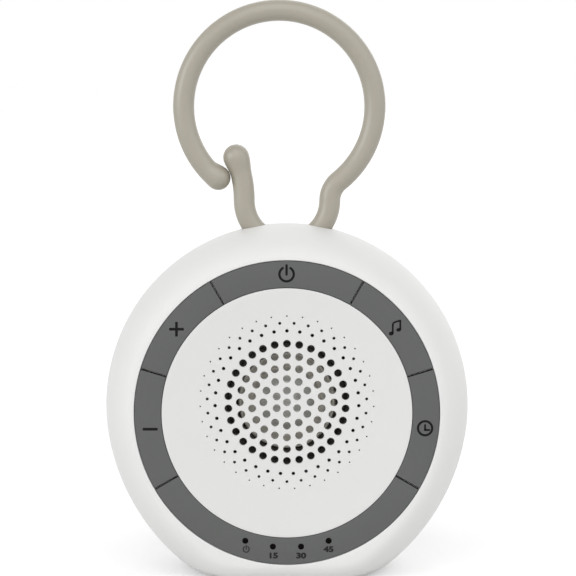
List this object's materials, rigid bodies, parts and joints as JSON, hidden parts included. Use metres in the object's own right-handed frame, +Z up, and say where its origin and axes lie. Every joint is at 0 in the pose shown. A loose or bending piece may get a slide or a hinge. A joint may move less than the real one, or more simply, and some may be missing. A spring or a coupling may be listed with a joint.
{
  "type": "portable white noise machine",
  "caption": "Round battery-powered sleep sound machine with a snap hook, a perforated speaker front, a ring of keys and lamps, and a rear battery door.",
  "frame": {"origin": "centre of the bounding box at the flat base that it stands on", "axes": "+Z up through the hook, -Y out of the front face, +X to the right seen from the front"},
  "size_m": [0.1, 0.046, 0.1568],
  "materials": {
    "white_shell": "white ABS, fine matte texture",
    "white_grille": "white ABS, fine matte texture",
    "warm_grey_hook": "warm grey polypropylene, slight sheen",
    "dark_grey_key": "dark grey soft-touch plastic",
    "dark_grey_panel": "dark grey soft-touch plastic",
    "smoked_guide": "dark smoked acrylic",
    "board_green": "solder mask",
    "chip_black": "moulded epoxy",
    "socket_white": "natural nylon",
    "capacitor_sleeve": "shrink sleeve",
    "speaker_steel": "zinc-plated sheet",
    "gasket_foam": "closed-cell foam",
    "cone_paper": "pressed paper",
    "coil_copper": "enamelled winding",
    "magnet_ferrite": "sintered ferrite",
    "dust_cap_grey": "light grey paper",
    "surround_black": "moulded rubber",
    "cell_jacket": "plain grey film sleeve",
    "contact_nickel": "nickel-plated spring steel",
    "screw_zinc": "zinc-plated",
    "switch_black": "moulded",
    "actuator_white": "moulded",
    "lamp_body": "clear epoxy"
  },
  "bodies": {
    "housing": {"front_cover": "white_shell", "rear_cover": "white_shell", "hook": "warm_grey_hook", "speaker_grille": "white_grille", "indicator_panel": "dark_grey_panel", "light_guide": "smoked_guide", "power_lamp": "lamp_body", "timer_lamp_short": "lamp_body", "timer_lamp_middle": "lamp_body", "timer_lamp_long": "lamp_body", "control_board": "board_green", "sound_chip": "chip_black", "amplifier_chip": "chip_black", "speaker_socket": "socket_white", "battery_socket": "socket_white", "capacitor": "capacitor_sleeve", "speaker_basket": "speaker_steel", "speaker_gasket": "gasket_foam", "speaker_cone": "cone_paper", "voice_coil": "coil_copper", "speaker_magnet": "magnet_ferrite", "speaker_yoke": "speaker_steel", "dust_cap": "dust_cap_grey", "speaker_surround": "surround_black", "battery_1": "cell_jacket", "battery_2": "cell_jacket", "battery_3": "cell_jacket", "contact_negative": "contact_nickel", "contact_bridge_right": "contact_nickel", "contact_bridge_left": "contact_nickel", "contact_positive": "contact_nickel", "housing_screws": "screw_zinc", "power_switch": "switch_black", "sound_switch": "switch_black", "timer_switch": "switch_black", "quieter_switch": "switch_black", "louder_switch": "switch_black"},
    "battery_hatch": {"battery_door": "white_shell"},
    "power_button": {"power_key": "dark_grey_key", "power_actuator": "actuator_white"},
    "sound_button": {"sound_key": "dark_grey_key", "sound_actuator": "actuator_white"},
    "timer_button": {"timer_key": "dark_grey_key", "timer_actuator": "actuator_white"},
    "quieter_button": {"quieter_key": "dark_grey_key", "quieter_actuator": "actuator_white"},
    "louder_button": {"louder_key": "dark_grey_key", "louder_actuator": "actuator_white"}
  },
  "joints": [
    {"name": "power_press", "type": "slide", "parent": "housing", "child": "power_button", "axis": [0, 1, 0], "range_m": [0, 0.0006], "stiffness_N_per_m": 1500, "springref_m": -0.0002},
    {"name": "sound_press", "type": "slide", "parent": "housing", "child": "sound_button", "axis": [0, 1, 0], "range_m": [0, 0.0006], "stiffness_N_per_m": 1500, "springref_m": -0.0002},
    {"name": "timer_press", "type": "slide", "parent": "housing", "child": "timer_button", "axis": [0, 1, 0], "range_m": [0, 0.0006], "stiffness_N_per_m": 1500, "springref_m": -0.0002},
    {"name": "quieter_press", "type": "slide", "parent": "housing", "child": "quieter_button", "axis": [0, 1, 0], "range_m": [0, 0.0006], "stiffness_N_per_m": 1500, "springref_m": -0.0002},
    {"name": "louder_press", "type": "slide", "parent": "housing", "child": "louder_button", "axis": [0, 1, 0], "range_m": [0, 0.0006], "stiffness_N_per_m": 1500, "springref_m": -0.0002},
    {"name": "battery_door_swing", "type": "hinge", "parent": "housing", "child": "battery_hatch", "pos_m": [0, 0.022, 0.0216], "axis": [-1, 0, 0], "range_deg": [0, 40]}
  ]
}
